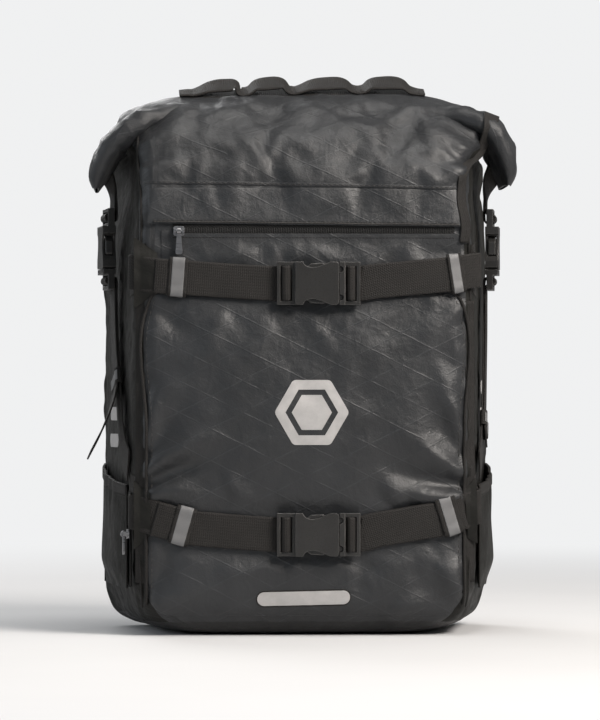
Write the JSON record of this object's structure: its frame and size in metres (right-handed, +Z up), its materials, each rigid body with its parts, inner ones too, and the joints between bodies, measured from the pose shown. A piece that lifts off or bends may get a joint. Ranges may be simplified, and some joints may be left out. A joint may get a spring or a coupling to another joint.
{
  "type": "pannier bag",
  "caption": "Roll-top bicycle pannier with a front pocket, compression straps, side-release buckles, side pockets and adjustable rack hooks on the back.",
  "frame": {"origin": "on the rack tube's axis, midway between the two hooks", "axes": "+Z up, +Y towards the bicycle, +X to the right seen from outside, along the rack tube"},
  "size_m": [0.32, 0.218, 0.4063],
  "materials": {
    "laminate": "satin ripstop laminate",
    "dark_laminate": "matt coated fabric",
    "webbing": "ribbed polyester webbing",
    "reflective": "pale reflective print",
    "buckle_plastic": "fine moulded texture",
    "zip_tape": "woven tape with coil teeth",
    "zip_metal": "dark plated metal",
    "stiffener_plastic": "smooth sheet",
    "rail_aluminium": "black anodised",
    "hook_plastic": "glass-filled nylon",
    "steel": "zinc plated"
  },
  "bodies": {
    "root": {"backboard": "stiffener_plastic", "base_panel": "dark_laminate", "edge_bindings": "dark_laminate", "front_label": "reflective", "front_mark": "reflective", "front_pocket": "laminate", "lower_buckle_socket": "buckle_plastic", "lower_rail": "rail_aluminium", "lower_strap_left": "webbing", "lower_strap_right": "webbing", "main_shell": "laminate", "rail_screws": "steel", "screw_nuts": "steel", "side_marks": "reflective", "side_pocket_left": "dark_laminate", "side_pocket_right": "dark_laminate", "side_strap_left": "webbing", "side_strap_right": "webbing", "side_zip_tape": "zip_tape", "strap_anchors": "webbing", "strap_keepers": "reflective", "upper_buckle_socket": "buckle_plastic", "upper_rail": "rail_aluminium", "upper_strap_left": "webbing", "upper_strap_right": "webbing", "zip_flap": "laminate", "zip_tape": "zip_tape"},
    "upper_plug": {"upper_buckle_plug": "buckle_plastic"},
    "upper_top_arm": {"upper_buckle_top_arm": "buckle_plastic"},
    "upper_bottom_arm": {"upper_buckle_bottom_arm": "buckle_plastic"},
    "lower_plug": {"lower_buckle_plug": "buckle_plastic"},
    "lower_top_arm": {"lower_buckle_top_arm": "buckle_plastic"},
    "lower_bottom_arm": {"lower_buckle_bottom_arm": "buckle_plastic"},
    "left_plug": {"left_buckle_plug": "buckle_plastic"},
    "left_front_arm": {"left_buckle_front_arm": "buckle_plastic"},
    "left_back_arm": {"left_buckle_back_arm": "buckle_plastic"},
    "right_plug": {"right_buckle_plug": "buckle_plastic"},
    "right_back_arm": {"right_buckle_back_arm": "buckle_plastic"},
    "right_front_arm": {"right_buckle_front_arm": "buckle_plastic"},
    "roll_closure": {"roll_top": "laminate", "lip_stiffener": "stiffener_plastic", "daisy_chain": "webbing", "roll_end_tabs": "webbing", "left_buckle_socket": "buckle_plastic", "right_buckle_socket": "buckle_plastic"},
    "zip_slider": {"zip_slider": "zip_metal"},
    "zip_pull": {"zip_pull": "zip_metal"},
    "side_zip_slider": {"side_zip_slider": "zip_metal"},
    "side_zip_pull": {"side_zip_pull": "zip_metal"},
    "hook_left": {"hook_left": "hook_plastic", "latch_pin_left": "steel"},
    "latch_left": {"latch_left": "hook_plastic"},
    "hook_right": {"hook_right": "hook_plastic", "latch_pin_right": "steel"},
    "latch_right": {"latch_right": "hook_plastic"},
    "release_handle": {"release_handle": "hook_plastic"},
    "anchor_carriage": {"anchor_carriage": "hook_plastic"},
    "anchor_hook": {"anchor_hook": "hook_plastic"}
  },
  "joints": [
    {"name": "upper_release", "type": "slide", "parent": "root", "child": "upper_plug", "axis": [1, 0, 0], "range_m": [0, 0.028], "deforming": ["upper_buckle_top_arm", "upper_buckle_bottom_arm", "upper_strap_right"]},
    {"name": "upper_top_arm_squeeze", "type": "hinge", "parent": "upper_plug", "child": "upper_top_arm", "pos_m": [0.0244, -0.1955, -0.0358], "axis": [0, -1, 0], "range_deg": [0, 8], "stiffness_Nm_per_rad": 0.02},
    {"name": "upper_bottom_arm_squeeze", "type": "hinge", "parent": "upper_plug", "child": "upper_bottom_arm", "pos_m": [0.0244, -0.1955, -0.0562], "axis": [0, -1, 0], "range_deg": [-8, 0], "stiffness_Nm_per_rad": 0.02},
    {"name": "lower_release", "type": "slide", "parent": "root", "child": "lower_plug", "axis": [1, 0, 0], "range_m": [0, 0.028], "deforming": ["lower_buckle_top_arm", "lower_buckle_bottom_arm", "lower_strap_right"]},
    {"name": "lower_top_arm_squeeze", "type": "hinge", "parent": "lower_plug", "child": "lower_top_arm", "pos_m": [0.0244, -0.1955, -0.2168], "axis": [0, -1, 0], "range_deg": [0, 8], "stiffness_Nm_per_rad": 0.02},
    {"name": "lower_bottom_arm_squeeze", "type": "hinge", "parent": "lower_plug", "child": "lower_bottom_arm", "pos_m": [0.0244, -0.1955, -0.2372], "axis": [0, -1, 0], "range_deg": [-8, 0], "stiffness_Nm_per_rad": 0.02},
    {"name": "left_release", "type": "slide", "parent": "root", "child": "left_plug", "axis": [0, 0, -1], "range_m": [0, 0.028], "deforming": ["left_buckle_front_arm", "left_buckle_back_arm", "side_strap_left"]},
    {"name": "left_front_arm_squeeze", "type": "hinge", "parent": "left_plug", "child": "left_front_arm", "pos_m": [-0.13753, -0.11589, -0.0334], "axis": [-0.991, -0.1338, 0], "range_deg": [0, 8], "stiffness_Nm_per_rad": 0.02},
    {"name": "left_back_arm_squeeze", "type": "hinge", "parent": "left_plug", "child": "left_back_arm", "pos_m": [-0.14026, -0.09568, -0.0334], "axis": [-0.991, -0.1338, 0], "range_deg": [-8, 0], "stiffness_Nm_per_rad": 0.02},
    {"name": "right_release", "type": "slide", "parent": "root", "child": "right_plug", "axis": [0, 0, -1], "range_m": [0, 0.028], "deforming": ["right_buckle_back_arm", "right_buckle_front_arm", "side_strap_right"]},
    {"name": "right_back_arm_squeeze", "type": "hinge", "parent": "right_plug", "child": "right_back_arm", "pos_m": [0.14026, -0.09568, -0.0334], "axis": [0.991, -0.1338, 0], "range_deg": [0, 8], "stiffness_Nm_per_rad": 0.02},
    {"name": "right_front_arm_squeeze", "type": "hinge", "parent": "right_plug", "child": "right_front_arm", "pos_m": [0.13753, -0.11589, -0.0334], "axis": [0.991, -0.1338, 0], "range_deg": [-8, 0], "stiffness_Nm_per_rad": 0.02},
    {"name": "roll_lift", "type": "slide", "parent": "root", "child": "roll_closure", "axis": [0, 0, 1], "range_m": [0, 0.09]},
    {"name": "zip_slide", "type": "slide", "parent": "root", "child": "zip_slider", "axis": [1, 0, 0], "range_m": [0, 0.19]},
    {"name": "zip_pull_swing", "type": "hinge", "parent": "zip_slider", "child": "zip_pull", "pos_m": [-0.0915, -0.1929, -0.008], "axis": [-1, 0, 0], "range_deg": [0, 120]},
    {"name": "side_zip_slide", "type": "slide", "parent": "root", "child": "side_zip_slider", "axis": [0, 0, -1], "range_m": [0, 0.028]},
    {"name": "side_zip_pull_swing", "type": "hinge", "parent": "side_zip_slider", "child": "side_zip_pull", "pos_m": [-0.13125, -0.17741, -0.227], "axis": [-0.1338, 0.991, 0], "range_deg": [0, 110]},
    {"name": "hook_left_adjust", "type": "slide", "parent": "root", "child": "hook_left", "axis": [1, 0, 0], "range_m": [-0.025, 0.025]},
    {"name": "latch_left_turn", "type": "hinge", "parent": "hook_left", "child": "latch_left", "pos_m": [-0.075, -0.0112, -0.028], "axis": [1, 0, 0], "range_deg": [0, 37]},
    {"name": "hook_right_adjust", "type": "slide", "parent": "root", "child": "hook_right", "axis": [1, 0, 0], "range_m": [-0.025, 0.025]},
    {"name": "latch_right_turn", "type": "hinge", "parent": "hook_right", "child": "latch_right", "pos_m": [0.075, -0.0112, -0.028], "axis": [1, 0, 0], "range_deg": [0, 37]},
    {"name": "release_pull", "type": "slide", "parent": "root", "child": "release_handle", "axis": [0, 0, 1], "range_m": [0, 0.012]},
    {"name": "anchor_adjust", "type": "slide", "parent": "root", "child": "anchor_carriage", "axis": [1, 0, 0], "range_m": [-0.025, 0.025]},
    {"name": "anchor_swing", "type": "hinge", "parent": "anchor_carriage", "child": "anchor_hook", "pos_m": [0, -0.0101, -0.226], "axis": [0, 1, 0], "range_deg": [-90, 90]}
  ],
  "couplings": [
    {"joint": "upper_bottom_arm_squeeze", "follows": "upper_top_arm_squeeze", "ratio": -1},
    {"joint": "lower_bottom_arm_squeeze", "follows": "lower_top_arm_squeeze", "ratio": -1},
    {"joint": "left_back_arm_squeeze", "follows": "left_front_arm_squeeze", "ratio": -1},
    {"joint": "right_front_arm_squeeze", "follows": "right_back_arm_squeeze", "ratio": -1},
    {"joint": "latch_left_turn", "follows": "release_pull", "rad_per_m": 53.8},
    {"joint": "latch_right_turn", "follows": "release_pull", "rad_per_m": 53.8}
  ]
}
